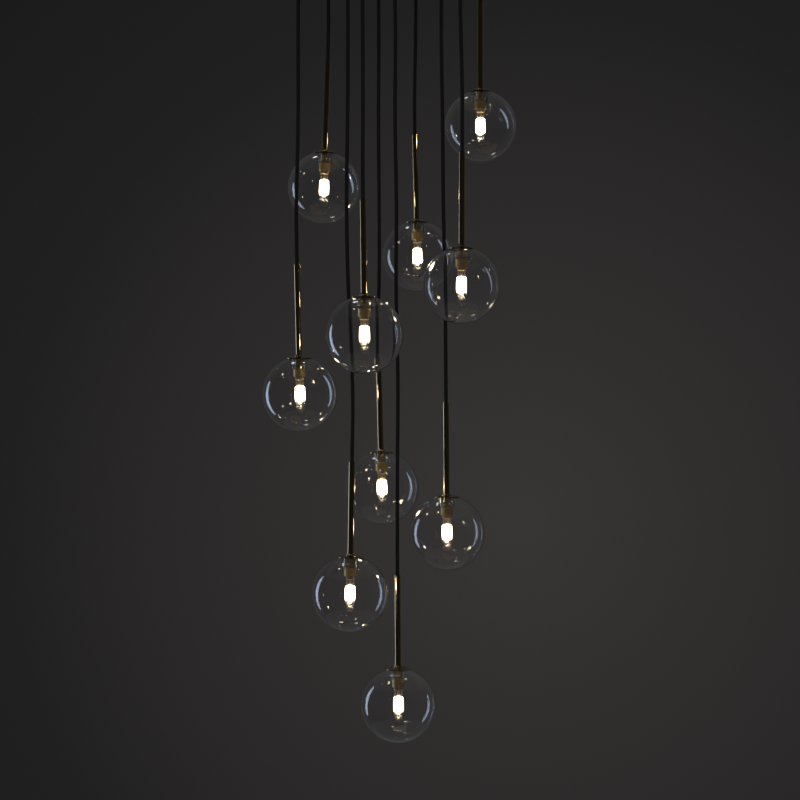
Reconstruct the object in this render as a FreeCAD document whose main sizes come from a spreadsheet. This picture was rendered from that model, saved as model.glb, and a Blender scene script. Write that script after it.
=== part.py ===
import FreeCAD, Part
import Sketcher
import math
import os
import re

# Cluster pendant: ten clear glass globes on brass stems, hung at ten heights by black
# textile flexes from one round ceiling canopy.
# Frame: millimetres, +Z up, origin on the ceiling at the middle of the canopy,
# -Y towards the viewer. A pendant's own frame has its origin at the middle of the
# underside of its brass cap, with +Z up the stem.

V = FreeCAD.Vector
doc = FreeCAD.newDocument("cluster_pendant")
dims = doc.addObject("Spreadsheet::Sheet", "dims")
probe = doc.addObject("App::FeaturePython", "probe")
probe.addProperty("App::PropertyFloat", "reading")

# ---- driving dimensions -------------------------------------------------------------
sizes = {
    # glass globe with its neck turned inward
    "globe_radius": 60.0,
    "glass_wall": 1.8,
    "roll_radius": 2.6,
    "neck_radius": 10.4,
    "neck_depth": 18.0,
    "seat_gap": 0.2,
    # brass cap, collar, stem
    "cap_radius": 20.0,
    "cap_slope": 6.0,
    "cap_drop": 1.6,
    "cap_edge": 0.9,
    "cap_thick": 1.5,
    "collar_radius": 7.5,
    "collar_rim": 0.9,
    "collar_height": 4.0,
    "collar_lip": 0.5,
    "stem_radius": 5.0,
    "stem_wall": 1.0,
    "stem_length": 142.5,
    "nipple_wall": 0.9,
    "nipple_up": 13.0,
    "nipple_down": 8.0,
    "bush_length": 8.0,
    "flex_radius": 3.0,
    # threaded sleeve, ringed shell, leaf springs
    "sleeve_radius": 7.5,
    "sleeve_wall": 0.9,
    "sleeve_length": 17.0,
    "sleeve_web": 1.2,
    "thread_pitch": 1.6,
    "thread_depth": 0.45,
    "shell_play": 0.8,
    "shell_wall": 0.7,
    "shell_length": 13.0,
    "shell_web": 1.2,
    "ring_step": 2.4,
    "ring_width": 0.6,
    "ring_depth": 0.3,
    "spring_width": 4.0,
    "spring_thick": 0.35,
    "spring_play": 0.3,
    "lug_play": 0.1,
    "lug_width": 1.6,
    # ceramic lampholder
    "holder_ledge": 1.7,
    "holder_nose_length": 5.0,
    "pin_spacing": 9.0,
    "pin_radius": 0.8,
    "pin_play": 0.08,
    "pin_length": 8.5,
    "pin_spare": 1.7,
    # capsule bulb
    "pinch_width": 13.0,
    "pinch_thick": 4.2,
    "pinch_height": 9.8,
    "capsule_radius": 7.75,
    "capsule_length": 36.0,
    "capsule_wall": 1.0,
    "capsule_shoulder": 4.0,
    "core_radius": 1.6,
    "core_lead": 2.0,
    "core_clear": 7.0,
    "lead_radius": 0.5,
    # canopy and what it holds
    "pan_radius": 200.0,
    "pan_height": 36.0,
    "pan_wall": 1.2,
    "pan_edge": 5.0,
    "grip_play": 0.1,
    "side_play": 0.2,
    "side_drop": 14.0,
    "plate_radius": 70.0,
    "plate_thick": 2.0,
    "inlet_radius": 10.0,
    "bolt_radius": 2.75,
    "bolt_circle": 110.0,
    "arm_width": 24.0,
    "tab_play": 0.3,
    "tab_thick": 2.5,
    "tab_below": 8.0,
    "screw_radius": 2.0,
    "screw_head": 5.0,
    "screw_head_length": 5.0,
    "screw_length": 10.0,
    "grip_shank": 5.0,
    "grip_flange": 8.0,
    "grip_flange_length": 3.0,
    "grip_taper": 0.9,
    "grip_wall": 1.3,
    "grip_drop": 14.0,
    "grip_rise": 10.0,
    "bell_depth": 4.0,
    "throat_play": 0.25,
    "bell_flare": 1.3,
    "tail_gap": 0.8,
    "tail_rise": 16.0,
    "nut_radius": 8.5,
    "nut_height": 3.5,
    "grommet_wall": 4.5,
    "grommet_edge": 2.5,
    "grommet_lip": 1.6,
    "block_length": 60.0,
    "block_width": 16.0,
    "block_height": 14.0,
    "block_bore": 1.8,
    "block_pitch": 11.0,
    "block_x": 20.0,
    "block_y": 22.0,
    "earth_width": 6.3,
    "earth_thick": 0.8,
    "earth_height": 12.0,
    "earth_x": -50.0,
    "earth_y": -8.0,
}

# What fits another piece takes its size from that piece and a wall or a play.
fits = {
    "cap_flat": "cap_radius - cap_slope",
    "stem_bore": "stem_radius - stem_wall",
    "nipple_bore": "stem_bore - nipple_wall",
    "sleeve_bore": "sleeve_radius - sleeve_wall",
    "shell_radius": "neck_radius - shell_play",
    "shell_bore": "shell_radius - shell_wall",
    "spring_reach": "neck_radius - spring_play",
    "lug_reach": "neck_radius - lug_play",
    "holder_nose": "shell_bore - holder_ledge",
    "pin_hole": "pin_radius + pin_play",
    "pin_hole_depth": "pin_length - seat_gap + pin_spare",
    "core_length": "capsule_length - 2 * capsule_wall - core_lead - core_clear",
    "grip_hole": "grip_shank + grip_play",
    "side_hole": "screw_radius + side_play",
    "arm_reach": "pan_radius - pan_wall - tab_play",
    "tab_height": "side_drop + tab_below",
    "bell_throat": "flex_radius + throat_play",
    "bell_mouth": "flex_radius + bell_flare",
    "grip_mouth": "bell_mouth + grip_wall",
    "grip_body": "grip_mouth + grip_taper",
    "grommet_bore": "inlet_radius - grommet_wall",
    "grommet_flange": "inlet_radius + grommet_edge",
}

# One entry for each pendant, left to right at the canopy: where its flex leaves the canopy
# (x, y), where the middle of its cap hangs (x, z), how far the stem leans (degrees, +
# leans its top to +X), and the length of flex that stands straight above the stem.
pendants = {
    "01": {"exit_x": -157.3, "depth": -50.0, "cap_x": -156.3, "cap_z": -712.6, "lean": -1.32, "rise": 40.0},
    "02": {"exit_x": -115.2, "depth": 85.0, "cap_x": -120.5, "cap_z": -369.3, "lean": 1.66, "rise": 25.0},
    "03": {"exit_x": -78.1, "depth": -98.0, "cap_x": -73.3, "cap_z": -1024.8, "lean": 0.87, "rise": 40.0},
    "04": {"exit_x": -53.9, "depth": -162.0, "cap_x": -51.0, "cap_z": -621.8, "lean": -0.65, "rise": 56.0},
    "05": {"exit_x": -31.1, "depth": 15.0, "cap_x": -26.8, "cap_z": -864.2, "lean": -1.54, "rise": 56.0},
    "06": {"exit_x": -4.9, "depth": -50.0, "cap_x": 1.1, "cap_z": -1206.1, "lean": -0.43, "rise": 56.0},
    "07": {"exit_x": 30.9, "depth": 150.0, "cap_x": 32.4, "cap_z": -478.1, "lean": -1.26, "rise": 50.0},
    "08": {"exit_x": 70.1, "depth": -50.0, "cap_x": 78.3, "cap_z": -932.7, "lean": -0.44, "rise": 60.0},
    "09": {"exit_x": 97.3, "depth": -115.0, "cap_x": 99.9, "cap_z": -543.2, "lean": 0.31, "rise": 40.0},
    "10": {"exit_x": 137.8, "depth": 100.0, "cap_x": 138.2, "cap_z": -265.0, "lean": -0.09, "rise": 20.0},
}

# The gentle waves each flex keeps between the canopy and its stem: points (x, z).
waves = {
    "01": [(-157.3, -100), (-158.2, -200), (-157.5, -340), (-160.9, -460)],
    "02": [(-115.2, -90), (-114.7, -150)],
    "03": [(-78.1, -106), (-77.3, -216), (-77.9, -340), (-79.9, -460), (-78.4, -575),
           (-72.4, -696), (-69.6, -775)],
    "04": [(-53.9, -106), (-53.1, -210), (-52.6, -330)],
    "05": [(-31.1, -106), (-30.2, -210), (-31.2, -330), (-29.9, -460), (-29.4, -580)],
    "06": [(-4.9, -106), (-2.8, -214), (-4.4, -330), (-1.2, -470), (-2.9, -600),
           (1.2, -740), (-0.2, -880)],
    "07": [(30.9, -110), (29.9, -200)],
    "08": [(70.1, -106), (69.4, -210), (71.9, -340), (72.6, -470), (76.0, -600)],
    "09": [(97.3, -106), (98.0, -190), (100.9, -290)],
    "10": [(137.8, -70)],
}

row = 1
for name, value in sizes.items():
    dims.set("A%d" % row, name)
    dims.set("B%d" % row, str(value))
    dims.setAlias("B%d" % row, name)
    row += 1
for number, entry in pendants.items():
    for name in ("exit_x", "depth", "cap_x", "cap_z", "lean"):
        dims.set("A%d" % row, "%s_%s" % (name, number))
        dims.set("B%d" % row, str(entry[name]))
        dims.setAlias("B%d" % row, "%s_%s" % (name, number))
        row += 1
doc.recompute()


# ---- helpers ------------------------------------------------------------------------
def pointed(word):
    name = word.group(0)
    if name == "sqrt":
        return name
    if name in fits:
        return "(%s)" % bound(fits[name])
    return "dims." + name


def bound(text):
    """The expression with every dimension's name pointing at the sheet."""
    return re.sub(r"[a-z]\w*", pointed, text)


def reading(text):
    """The value the expression has now."""
    probe.setExpression("reading", bound(text))
    probe.recompute()
    return probe.reading


def plane(body, role):
    """One of the body's own origin planes or axes."""
    for feature in body.Origin.OriginFeatures:
        if feature.Role == role:
            return feature


def new_body(name):
    return doc.addObject("PartDesign::Body", name)


def new_sketch(body, name, role="XZ_Plane", offset="0"):
    sketch = body.newObject("Sketcher::SketchObject", name)
    sketch.AttachmentSupport = [(plane(body, role), "")]
    sketch.MapMode = "FlatFace"
    if offset != "0":
        sketch.setExpression("AttachmentOffset.Base.z", bound(offset))
    return sketch


def pin_point(sketch, geometry, end, across, up):
    """Hold one point of the sketch at two bound coordinates."""
    for kind, axis, text in (("DistanceX", -2, across), ("DistanceY", -1, up)):
        if text == "0":
            sketch.addConstraint(Sketcher.Constraint("PointOnObject", geometry, end, axis))
        else:
            held = Sketcher.Constraint(kind, -1, 1, geometry, end, reading(text))
            sketch.setExpression("Constraints[%d]" % sketch.addConstraint(held), bound(text))


def outline(sketch, points):
    """A closed outline. A point is (across, up), or (across, up, radius, side) when an arc
    leads to it from the point before; side is +1 with the arc's middle on the left."""
    spots = [V(reading(p[0]), reading(p[1]), 0) for p in points]
    ends = []
    for i, point in enumerate(points):
        start = spots[i - 1]
        finish = spots[i]
        if len(point) == 2:
            ends.append((sketch.addGeometry(Part.LineSegment(start, finish)), 1, 2))
            continue
        radius = reading(point[2])
        half = (finish - start) * 0.5
        square = V(-half.y, half.x, 0).normalize()
        middle = start + half + square * (point[3] * math.sqrt(max(radius ** 2 - half.Length ** 2, 0.0)))
        first = math.atan2(start.y - middle.y, start.x - middle.x)
        last = math.atan2(finish.y - middle.y, finish.x - middle.x)
        circle = Part.Circle(middle, V(0, 0, 1), radius)
        if point[3] > 0:
            ends.append((sketch.addGeometry(Part.ArcOfCircle(circle, first, last)), 1, 2))
        else:
            ends.append((sketch.addGeometry(Part.ArcOfCircle(circle, last, first)), 2, 1))
        bend = sketch.addConstraint(Sketcher.Constraint("Radius", ends[-1][0], radius))
        sketch.setExpression("Constraints[%d]" % bend, bound(point[2]))
    for i, point in enumerate(points):
        here = ends[i]
        after = ends[(i + 1) % len(ends)]
        sketch.addConstraint(Sketcher.Constraint("Coincident", here[0], here[2], after[0], after[1]))
        pin_point(sketch, here[0], here[2], point[0], point[1])


def ring(sketch, across, up, radius):
    """A circle at a bound place, with a bound radius."""
    spot = V(reading(across), reading(up), 0)
    index = sketch.addGeometry(Part.Circle(spot, V(0, 0, 1), reading(radius)))
    pin_point(sketch, index, 3, across, up)
    held = sketch.addConstraint(Sketcher.Constraint("Radius", index, reading(radius)))
    sketch.setExpression("Constraints[%d]" % held, bound(radius))


def turned(name, points):
    """A body turned from an outline about its own Z axis."""
    body = new_body(name)
    sketch = new_sketch(body, name + "_outline")
    outline(sketch, points)
    turn = body.newObject("PartDesign::Revolution", name + "_turned")
    turn.Profile = sketch
    turn.ReferenceAxis = (sketch, ["V_Axis"])
    turn.Angle = 360
    sketch.Visibility = False
    return body


def tube(name, inner, outer, low, high):
    return turned(name, [(inner, low), (outer, low), (outer, high), (inner, high)])


def padded(body, name, length, role="XY_Plane", offset="0", both=False):
    """A pad of a new sketch in the body, and that sketch."""
    sketch = new_sketch(body, name + "_sketch", role, offset)
    pad = body.newObject("PartDesign::Pad", name)
    pad.Profile = sketch
    pad.setExpression("Length", bound(length))
    if both:
        pad.SideType = "Symmetric"
    sketch.Visibility = False
    return pad, sketch


def pocketed(body, name, sketch, length, reversed_cut=False):
    pocket = body.newObject("PartDesign::Pocket", name)
    pocket.Profile = sketch
    pocket.setExpression("Length", bound(length))
    pocket.Reversed = reversed_cut
    sketch.Visibility = False
    return pocket


def box_outline(sketch, left, right, low, high):
    outline(sketch, [(left, low), (right, low), (right, high), (left, high)])


def less(body, action):
    """Run a cutting step and make sure that it took something away."""
    doc.recompute()
    before = body.Shape.Volume
    feature = action()
    doc.recompute()
    if not body.Shape.Volume < before - 0.01:
        raise ValueError("%s cut nothing from %s" % (feature.Name, body.Name))
    return feature


nodes = []


def node(label, pieces, spot=V(0, 0, 0), lean=0.0):
    """One named sub-part: its pieces together, placed in the fixture."""
    group = doc.addObject("Part::Compound", label)
    group.Links = pieces
    group.Placement = FreeCAD.Placement(spot, FreeCAD.Rotation(V(0, 1, 0), lean))
    group.Label = label
    nodes.append(group)
    return group


# ---- glass globe --------------------------------------------------------------------
# The roll at the top of the globe runs from the sphere over into the neck; the same wall
# thickness goes all the way round.
roll_r = "(neck_radius + roll_radius)"
roll_rise = "sqrt((globe_radius - roll_radius)^2 - (neck_radius + roll_radius)^2)"
roll_z = "(-seat_gap - roll_radius)"
globe_z = "(%s - %s)" % (roll_z, roll_rise)
grow_out = "globe_radius / (globe_radius - roll_radius)"
grow_in = "(globe_radius - glass_wall) / (globe_radius - roll_radius)"
globe = turned("globe", [
    ("0", "%s - globe_radius" % globe_z),
    ("%s * %s" % (roll_r, grow_out), "%s + %s * %s" % (globe_z, roll_rise, grow_out), "globe_radius", 1),
    ("neck_radius", roll_z, "roll_radius", 1),
    ("neck_radius", "-seat_gap - neck_depth"),
    ("neck_radius + glass_wall", "-seat_gap - neck_depth"),
    ("neck_radius + glass_wall", roll_z),
    ("%s * %s" % (roll_r, grow_in), "%s + %s * %s" % (globe_z, roll_rise, grow_in),
     "roll_radius - glass_wall", -1),
    ("0", "%s - globe_radius + glass_wall" % globe_z, "globe_radius - glass_wall", -1),
])

# ---- brass fitting: stem, collar, cap, sleeve, ringed shell, springs ------------------
stem_top = "cap_thick + collar_height + stem_length"
stem = tube("stem", "stem_bore", "stem_radius", "cap_thick", stem_top)
bush = tube("flex_bush", "flex_radius", "stem_bore", stem_top + " - bush_length", stem_top)
nipple = tube("nipple", "nipple_bore", "stem_bore", "-nipple_down", "nipple_up")
cap = turned("cap", [
    ("stem_bore", "0"),
    ("cap_flat", "0"),
    ("cap_radius", "-cap_drop"),
    ("cap_radius", "cap_edge - cap_drop"),
    ("cap_flat", "cap_thick"),
    ("stem_bore", "cap_thick"),
])
collar = turned("collar", [
    ("stem_radius", "cap_thick"),
    ("collar_radius", "cap_thick"),
    ("collar_radius", "cap_thick + collar_rim"),
    ("stem_radius + collar_lip", "cap_thick + collar_height", "collar_height", -1),
    ("stem_radius", "cap_thick + collar_height"),
])

# The sleeve carries an outside thread of seven turns, drawn as plain ridges.
sleeve_points = [
    ("stem_bore", "-sleeve_web"),
    ("sleeve_bore", "-sleeve_web"),
    ("sleeve_bore", "-sleeve_length"),
    ("sleeve_radius", "-sleeve_length"),
]
for turn in range(7, 0, -1):
    sleeve_points.append(("sleeve_radius", "-sleeve_web - %.2f * thread_pitch" % (turn + 0.95)))
    sleeve_points.append(("sleeve_radius - thread_depth", "-sleeve_web - %.2f * thread_pitch" % (turn + 0.5)))
    sleeve_points.append(("sleeve_radius", "-sleeve_web - %.2f * thread_pitch" % (turn + 0.05)))
sleeve_points.append(("sleeve_radius", "0"))
sleeve_points.append(("stem_bore", "0"))
sleeve = turned("sleeve", sleeve_points)

# The shell below it has three fine grooves round it.
shell_points = [
    ("stem_bore", "-sleeve_length - shell_web"),
    ("shell_bore", "-sleeve_length - shell_web"),
    ("shell_bore", "-sleeve_length - shell_length"),
    ("shell_radius", "-sleeve_length - shell_length"),
]
for groove in (4, 3, 2, 1):
    low = "-sleeve_length - %d * ring_step - ring_width" % groove
    high = "-sleeve_length - %d * ring_step" % groove
    shell_points.append(("shell_radius", low))
    shell_points.append(("shell_radius - ring_depth", low))
    shell_points.append(("shell_radius - ring_depth", high))
    shell_points.append(("shell_radius", high))
shell_points.append(("shell_radius", "-sleeve_length"))
shell_points.append(("stem_bore", "-sleeve_length"))
shell = turned("shell", shell_points)


def leaf_spring(name, turned_by):
    """A leaf that is fixed low on the shell and bears on the bore of the glass neck."""
    body = new_body(name)
    foot = "-sleeve_length - shell_length + 1"
    leaf, sketch = padded(body, name + "_leaf", "spring_width", "XZ_Plane", "0", True)
    outline(sketch, [
        ("shell_radius", foot),
        ("shell_radius + spring_thick", foot),
        ("shell_radius + spring_thick", "-sleeve_length - 3"),
        ("spring_reach", "-sleeve_length + 3"),
        ("spring_reach", "-sleeve_length + 8"),
        ("spring_reach - 1.5", "-3.5"),
        ("spring_reach - 1.5 - spring_thick", "-3.5"),
        ("spring_reach - spring_thick", "-sleeve_length + 8"),
        ("spring_reach - spring_thick", "-sleeve_length + 3"),
        ("shell_radius", "-sleeve_length - 3"),
    ])
    lug, sketch = padded(body, name + "_lug", "lug_width", "XZ_Plane", "0", True)
    box_outline(sketch, "shell_radius + 0.1", "lug_reach", foot, foot + " + 2")
    body.Placement = FreeCAD.Placement(V(0, 0, 0), FreeCAD.Rotation(V(0, 0, 1), turned_by))
    return body


spring_right = leaf_spring("spring_right", 0)
spring_left = leaf_spring("spring_left", 180)

# ---- ceramic lampholder ---------------------------------------------------------------
holder_top = "-sleeve_length - shell_web"
holder_step = "-sleeve_length - shell_length"
holder_low = holder_step + " - holder_nose_length"
holder = turned("holder", [
    ("0", holder_low),
    ("holder_nose", holder_low),
    ("holder_nose", holder_step),
    ("shell_bore", holder_step),
    ("shell_bore", holder_top),
    ("0", holder_top),
])
pin_sketch = new_sketch(holder, "pin_holes", "XY_Plane", holder_low)
ring(pin_sketch, "pin_spacing / 2", "0", "pin_hole")
ring(pin_sketch, "-pin_spacing / 2", "0", "pin_hole")
less(holder, lambda: pocketed(holder, "pin_sockets", pin_sketch, "pin_hole_depth", True))

# ---- capsule bulb ---------------------------------------------------------------------
seat = holder_low + " - seat_gap"
capsule_top = seat + " - pinch_height"
capsule_low = capsule_top + " - capsule_length"
capsule = turned("capsule", [
    ("0", capsule_low),
    ("capsule_radius", capsule_low + " + capsule_radius", "capsule_radius", 1),
    ("capsule_radius", capsule_top + " - capsule_shoulder"),
    ("capsule_radius - capsule_shoulder", capsule_top, "capsule_shoulder", 1),
    ("0", capsule_top),
    ("0", capsule_top + " - capsule_wall"),
    ("capsule_radius - capsule_shoulder", capsule_top + " - capsule_wall"),
    ("capsule_radius - capsule_wall", capsule_top + " - capsule_shoulder",
     "capsule_shoulder - capsule_wall", -1),
    ("capsule_radius - capsule_wall", capsule_low + " + capsule_radius"),
    ("0", capsule_low + " + capsule_wall", "capsule_radius - capsule_wall", -1),
])
pinch = new_body("pinch")
pinch_pad, pinch_sketch = padded(pinch, "pinch_pad", "pinch_height", "XY_Plane", capsule_top)
box_outline(pinch_sketch, "-pinch_width / 2", "pinch_width / 2", "-pinch_thick / 2", "pinch_thick / 2")
lead = tube("lead", "0", "lead_radius", capsule_top + " - capsule_wall - core_lead",
            capsule_top + " - capsule_wall")
core = tube("core", "0", "core_radius", capsule_top + " - capsule_wall - core_lead - core_length",
            capsule_top + " - capsule_wall - core_lead")


def bulb_pin(name, side):
    body = new_body(name)
    pad, sketch = padded(body, name + "_pad", "pin_length", "XY_Plane", seat)
    ring(sketch, "%d * pin_spacing / 2" % side, "0", "pin_radius")
    return body


pin_right = bulb_pin("pin_right", 1)
pin_left = bulb_pin("pin_left", -1)

# ---- the ten pendants -----------------------------------------------------------------
doc.recompute()
pivot_z = reading("-pan_height - grip_drop + bell_depth")


def flex(number, entry):
    """A flex from its grip to the bush in the stem: straight runs joined by tangent arcs."""
    exit_x = entry["exit_x"]
    lean = math.radians(entry["lean"])
    along = V(math.sin(lean), math.cos(lean), 0)
    low = V(entry["cap_x"] - exit_x, entry["cap_z"] - pivot_z, 0)
    top = low + along * reading(stem_top)
    points = [V(0, 0, 0)]
    for x, z in waves[number]:
        points.append(V(x - exit_x, z - pivot_z, 0))
    points.append(top + along * entry["rise"])
    points.append(top - along * reading("bush_length"))

    body = new_body("flex_" + number)
    body.Label = "flex_body_" + number
    path = new_sketch(body, "flex_path_" + number)
    start = points[0]
    radii = []
    for before, here, after in zip(points, points[1:], points[2:]):
        come = here - before
        leave = after - here
        half_turn = come.getAngle(leave) / 2
        shorter = min(come.Length, leave.Length)
        radius = 0.45 * shorter / math.tan(half_turn)
        radii.append(round(radius))
        come.normalize()
        leave.normalize()
        touch_in = here - come * (0.45 * shorter)
        touch_out = here + leave * (0.45 * shorter)
        inward = (leave - come).normalize()
        middle = here + inward * (radius / math.cos(half_turn))
        path.addGeometry(Part.LineSegment(start, touch_in))
        crown = middle - inward * radius
        path.addGeometry(Part.Arc(touch_in, crown, touch_out))
        start = touch_out
    path.addGeometry(Part.LineSegment(start, points[-1]))
    section = new_sketch(body, "flex_section_" + number, "XY_Plane")
    ring(section, "0", "0", "flex_radius")
    pipe = body.newObject("PartDesign::AdditivePipe", "flex_pipe_" + number)
    pipe.Profile = section
    pipe.Spine = path
    pipe.Mode = "Standard"
    doc.recompute()
    length = path.Shape.Length
    expected = length * math.pi * reading("flex_radius") ** 2
    print("flex %s: length %.1f mm, bend radii %s mm, volume %.4f of section x length"
          % (number, length, radii, body.Shape.Volume / expected))
    body.Placement = FreeCAD.Placement(V(exit_x, entry["depth"], pivot_z), FreeCAD.Rotation())
    return body


fitting_pieces = [stem, bush, nipple, cap, collar, sleeve, shell, spring_right, spring_left]
bulb_pieces = [capsule, pinch, lead, core, pin_right, pin_left]
for number, entry in pendants.items():
    hang = V(entry["cap_x"], entry["depth"], entry["cap_z"])
    node("cable_" + number, [flex(number, entry)])
    node("fitting_" + number, fitting_pieces, hang, entry["lean"])
    node("lampholder_" + number, [holder], hang, entry["lean"])
    node("globe_" + number, [globe], hang, entry["lean"])
    node("bulb_" + number, bulb_pieces, hang, entry["lean"])

# ---- canopy pan -----------------------------------------------------------------------
pan = turned("pan", [
    ("0", "-pan_height"),
    ("pan_radius - pan_edge", "-pan_height"),
    ("pan_radius", "pan_edge - pan_height", "pan_edge", 1),
    ("pan_radius", "0"),
    ("pan_radius - pan_wall", "0"),
    ("pan_radius - pan_wall", "pan_edge - pan_height"),
    ("pan_radius - pan_edge", "pan_wall - pan_height", "pan_edge - pan_wall", -1),
    ("0", "pan_wall - pan_height"),
])
grip_sketch = new_sketch(pan, "grip_holes", "XY_Plane", "-pan_height")
for number in pendants:
    ring(grip_sketch, "exit_x_" + number, "depth_" + number, "grip_hole")
less(pan, lambda: pocketed(pan, "grip_cut", grip_sketch, "pan_wall", True))
side_sketch = new_sketch(pan, "side_holes", "XZ_Plane")
ring(side_sketch, "0", "-side_drop", "side_hole")
side_cut = less(pan, lambda: pocketed(pan, "side_cut", side_sketch, "pan_radius + 5", False))


def thirds(body, name, originals):
    """Repeat features at three places round the body's Z axis."""
    pattern = body.newObject("PartDesign::PolarPattern", name)
    pattern.Originals = originals
    pattern.Axis = (plane(body, "Z_Axis"), [""])
    pattern.Angle = 360
    pattern.Occurrences = 3
    body.Tip = pattern
    return pattern


less(pan, lambda: thirds(pan, "side_cuts", [side_cut]))
node("canopy_pan", [pan])

# ---- ceiling plate: a disc with three arms whose tabs take the side screws --------------
plate = new_body("plate")
disc, disc_sketch = padded(plate, "plate_disc", "plate_thick", "XY_Plane", "-plate_thick")
ring(disc_sketch, "0", "0", "plate_radius")
ring(disc_sketch, "0", "0", "inlet_radius")
for across, up in ((1, 1), (-1, 1), (-1, -1), (1, -1)):
    ring(disc_sketch, "%d * bolt_circle / 2 / sqrt(2)" % across, "%d * bolt_circle / 2 / sqrt(2)" % up,
         "bolt_radius")
arm, arm_sketch = padded(plate, "plate_arm", "plate_thick", "XY_Plane", "-plate_thick")
box_outline(arm_sketch, "-arm_width / 2", "arm_width / 2", "plate_radius - 15", "arm_reach")
tab, tab_sketch = padded(plate, "plate_tab", "tab_height", "XY_Plane", "-tab_height")
box_outline(tab_sketch, "-arm_width / 2", "arm_width / 2", "arm_reach - tab_thick", "arm_reach")
doc.recompute()
tap_sketch = new_sketch(plate, "tab_holes", "XZ_Plane")
ring(tap_sketch, "0", "-side_drop", "screw_radius")
tap = less(plate, lambda: pocketed(plate, "tab_tap", tap_sketch, "pan_radius + 5", False))
if plate.Shape.BoundBox.YMax < plate.Shape.BoundBox.XMax:
    raise ValueError("the first arm doesn't point along Y")
thirds(plate, "plate_arms", [arm, tab, tap])
node("ceiling_plate", [plate])


def around(name, piece, turned_by):
    """A copy of a piece, turned about the canopy's axis."""
    copy = doc.addObject("Part::Compound", name)
    copy.Links = [piece]
    copy.Placement = FreeCAD.Placement(V(0, 0, 0), FreeCAD.Rotation(V(0, 0, 1), turned_by))
    return copy


def moved(name, piece, spot):
    """A copy of a piece, moved from the canopy's axis."""
    copy = doc.addObject("Part::Compound", name)
    copy.Links = [piece]
    copy.Placement = FreeCAD.Placement(spot, FreeCAD.Rotation())
    return copy


# Side screws lie along +Y: a head outside the pan and a shank through pan and tab.
screw = turned("side_screw", [
    ("0", "-screw_length"),
    ("screw_radius", "-screw_length"),
    ("screw_radius", "0"),
    ("screw_head", "0"),
    ("screw_head", "screw_head_length"),
    ("0", "screw_head_length"),
])
screw.Placement = FreeCAD.Placement(
    V(0, reading("pan_radius"), reading("-side_drop")), FreeCAD.Rotation(V(1, 0, 0), -90))
node("side_screws", [around("screw_turned_%d" % turn, screw, turn) for turn in (0, 120, 240)])

# ---- cord grips, their locknuts and the flex tails inside the canopy --------------------
grip = turned("grip", [
    ("flex_radius", "-pan_height - grip_drop + bell_depth + tail_gap"),
    ("bell_throat", "-pan_height - grip_drop + bell_depth + tail_gap"),
    ("bell_throat", "-pan_height - grip_drop + bell_depth"),
    ("bell_mouth", "-pan_height - grip_drop"),
    ("grip_mouth", "-pan_height - grip_drop"),
    ("grip_body", "-pan_height - grip_flange_length"),
    ("grip_flange", "-pan_height - grip_flange_length"),
    ("grip_flange", "-pan_height"),
    ("grip_shank", "-pan_height"),
    ("grip_shank", "-pan_height + grip_rise"),
    ("flex_radius", "-pan_height + grip_rise"),
])
tail = tube("tail", "0", "flex_radius", "-pan_height - grip_drop + bell_depth + tail_gap",
            "-pan_height + tail_rise")
nut_blank = doc.addObject("Part::Prism", "nut_blank")
nut_blank.Polygon = 6
nut_blank.setExpression("Circumradius", bound("nut_radius"))
nut_blank.setExpression("Height", bound("nut_height"))
nut_bore = doc.addObject("Part::Cylinder", "nut_bore")
nut_bore.setExpression("Radius", bound("grip_shank"))
nut_bore.setExpression("Height", bound("nut_height"))
nut = doc.addObject("Part::Cut", "nut")
nut.Base = nut_blank
nut.Tool = nut_bore
nut_z = reading("pan_wall - pan_height")
grips = []
tails = []
nuts = []
for number, entry in pendants.items():
    spot = V(entry["exit_x"], entry["depth"], 0)
    grips.append(moved("grip_at_" + number, grip, spot))
    tails.append(moved("tail_at_" + number, tail, spot))
    nuts.append(moved("nut_at_" + number, nut, spot + V(0, 0, nut_z)))
node("cord_grips", grips)
node("grip_nuts", nuts)
node("flex_tails", tails)

# ---- mains inlet, terminals -------------------------------------------------------------
grommet = turned("grommet", [
    ("grommet_bore", "-plate_thick - grommet_lip"),
    ("grommet_flange", "-plate_thick - grommet_lip"),
    ("grommet_flange", "-plate_thick"),
    ("inlet_radius", "-plate_thick"),
    ("inlet_radius", "0"),
    ("grommet_bore", "0"),
])
node("inlet_grommet", [grommet])

block = new_body("block")
block_pad, block_sketch = padded(block, "block_pad", "block_height", "XY_Plane",
                                 "-plate_thick - block_height")
box_outline(block_sketch, "block_x - block_length / 2", "block_x + block_length / 2",
            "block_y - block_width / 2", "block_y + block_width / 2")
doc.recompute()
way_sketch = new_sketch(block, "block_ways", "XZ_Plane")
for way in (-2, -1, 0, 1, 2):
    ring(way_sketch, "block_x + %d * block_pitch" % way, "-plate_thick - block_height / 2", "block_bore")
less(block, lambda: pocketed(block, "block_way_cut", way_sketch, "100", False))
node("terminal_block", [block])

earth = new_body("earth")
earth_pad, earth_sketch = padded(earth, "earth_pad", "earth_height", "XY_Plane",
                                 "-plate_thick - earth_height")
box_outline(earth_sketch, "earth_x - earth_width / 2", "earth_x + earth_width / 2",
            "earth_y - earth_thick / 2", "earth_y + earth_thick / 2")
node("earth_tab", [earth])

# ---- check and write --------------------------------------------------------------------
doc.recompute()
for thing in doc.Objects:
    if "Invalid" in thing.State or "Error" in thing.State:
        raise ValueError("%s is in state %s" % (thing.Name, thing.State))
os.makedirs("parts", exist_ok=True)
for group in nodes:
    shape = group.Shape
    if shape.isNull() or not shape.isValid() or not shape.Solids:
        raise ValueError("%s has no valid shape" % group.Label)
    shape.exportStep("parts/%s.step" % group.Label)
    print("%-16s solids %2d  volume %.0f mm3" % (group.Label, len(shape.Solids), shape.Volume))
print("nodes", len(nodes))
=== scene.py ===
import math

import bmesh
import bpy
from mathutils import Matrix, Vector


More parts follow.
